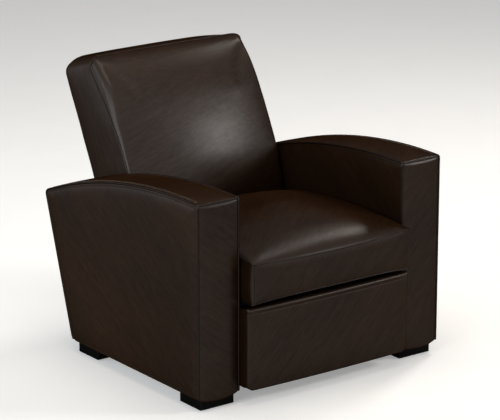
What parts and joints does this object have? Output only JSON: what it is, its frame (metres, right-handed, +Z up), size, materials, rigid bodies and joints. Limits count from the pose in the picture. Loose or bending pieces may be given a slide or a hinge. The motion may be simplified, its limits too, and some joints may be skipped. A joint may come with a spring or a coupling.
{
  "type": "recliner armchair",
  "caption": "Push-back recliner armchair with slab arms, arched arm tops, box seat cushion, raked padded back and swing-out footrest, upholstered in dark leather.",
  "frame": {"origin": "on the floor, under the middle of the chair's overall box at rest", "axes": "+Z up, the chair faces -Y, +X is to the right of someone who looks at its front"},
  "size_m": [0.86, 0.9414, 0.8461],
  "materials": {
    "leather": "satin, fine grain",
    "frame_wood": "planed hardwood and plywood, unfinished",
    "foam": "upholstery foam and wadding",
    "lining": "non-woven black lining",
    "webbing": "woven elastic strap",
    "foot": "black satin lacquer",
    "glide": "matte nylon",
    "steel": "black powder coat",
    "zinc": "zinc plated"
  },
  "bodies": {
    "base": {"arm_cover_left": "leather", "arm_cover_right": "leather", "arm_frame_left": "frame_wood", "arm_frame_right": "frame_wood", "arm_padding_left": "foam", "arm_padding_right": "foam", "base_rail_bolts": "zinc", "base_rail_left": "steel", "base_rail_right": "steel", "dust_cover": "lining", "foot_bolts": "zinc", "foot_front_left": "foot", "foot_front_right": "foot", "foot_glides": "glide", "foot_rear_left": "foot", "foot_rear_right": "foot", "front_cross_rail": "frame_wood", "rear_cross_rail": "frame_wood", "rear_panel_board": "frame_wood", "rear_panel_cover": "leather", "swing_base_rivets": "zinc"},
    "front_swing": {"swing_links_front": "steel", "swing_tube_front": "steel"},
    "rear_swing": {"swing_links_rear": "steel", "swing_tube_rear": "steel"},
    "seat": {"seat_cushion_core": "foam", "seat_cushion_cover": "leather", "seat_deck": "lining", "seat_front_rail": "frame_wood", "seat_plate_left": "steel", "seat_plate_right": "steel", "seat_plate_screws": "zinc", "seat_rear_rail": "frame_wood", "seat_side_rail_left": "frame_wood", "seat_side_rail_right": "frame_wood", "seat_webbing": "webbing", "swing_top_rivets": "zinc", "footrest_mount_rivets": "zinc", "back_pivot_bolts": "zinc"},
    "backrest": {"back_bracket_left": "steel", "back_bracket_right": "steel", "back_bracket_screws": "zinc", "back_cover": "leather", "back_frame": "frame_wood", "back_outer_panel": "leather", "back_padding": "foam", "back_webbing": "webbing"},
    "footrest_rear_link": {"footrest_rear_links": "steel", "footrest_torque_tube": "steel", "footrest_rear_rivets": "zinc"},
    "footrest_mid_link": {"footrest_mid_links": "steel"},
    "footrest_drive_link": {"footrest_drive_links": "steel", "footrest_drive_rivets": "zinc"},
    "footrest_guide_link": {"footrest_guide_links": "steel"},
    "footrest": {"footrest_cover": "leather", "footrest_board": "frame_wood", "footrest_padding": "foam", "footrest_brackets": "steel", "footrest_rivets": "zinc"}
  },
  "joints": [
    {"name": "recline", "type": "hinge", "parent": "base", "child": "front_swing", "pos_m": [0, -0.248, 0.164], "axis": [1, 0, 0], "range_deg": [0, 45]},
    {"name": "seat_carriage_pivot", "type": "hinge", "parent": "front_swing", "child": "seat", "pos_m": [0, -0.18777, 0.25001], "axis": [-1, 0, 0], "range_deg": [0, 45]},
    {"name": "rear_swing_pivot", "type": "hinge", "parent": "base", "child": "rear_swing", "pos_m": [0, 0.022, 0.164], "axis": [1, 0, 0], "range_deg": [0, 45]},
    {"name": "back_tilt", "type": "hinge", "parent": "seat", "child": "backrest", "pos_m": [0, 0.142, 0.27001], "axis": [-1, 0, 0], "range_deg": [0, 27]},
    {"name": "footrest_open", "type": "hinge", "parent": "seat", "child": "footrest_rear_link", "pos_m": [0, -0.268, 0.23401], "axis": [-1, 0, 0], "range_deg": [0, 95]},
    {"name": "footrest_mid_pivot", "type": "hinge", "parent": "footrest_rear_link", "child": "footrest_mid_link", "pos_m": [0, -0.22412, 0.09896], "axis": [1, 0, 0], "range_deg": [0, 95]},
    {"name": "footrest_panel_pivot", "type": "hinge", "parent": "footrest_mid_link", "child": "footrest", "pos_m": [0, -0.388, 0.22931], "axis": [-1, 0, 0], "range_deg": [0, 95]},
    {"name": "footrest_drive_pivot", "type": "hinge", "parent": "seat", "child": "footrest_drive_link", "pos_m": [0, -0.301, 0.24801], "axis": [-1, 0, 0], "range_deg": [0, 95]},
    {"name": "footrest_guide_pivot", "type": "hinge", "parent": "footrest_drive_link", "child": "footrest_guide_link", "pos_m": [0, -0.25712, 0.07096], "axis": [1, 0, 0], "range_deg": [0, 95]}
  ],
  "couplings": [
    {"joint": "seat_carriage_pivot", "follows": "recline", "ratio": 1},
    {"joint": "rear_swing_pivot", "follows": "recline", "ratio": 1},
    {"joint": "back_tilt", "follows": "recline", "ratio": 0.6},
    {"joint": "footrest_mid_pivot", "follows": "footrest_open", "ratio": 1},
    {"joint": "footrest_panel_pivot", "follows": "footrest_open", "ratio": 1},
    {"joint": "footrest_drive_pivot", "follows": "footrest_open", "ratio": 1},
    {"joint": "footrest_guide_pivot", "follows": "footrest_open", "ratio": 1}
  ]
}
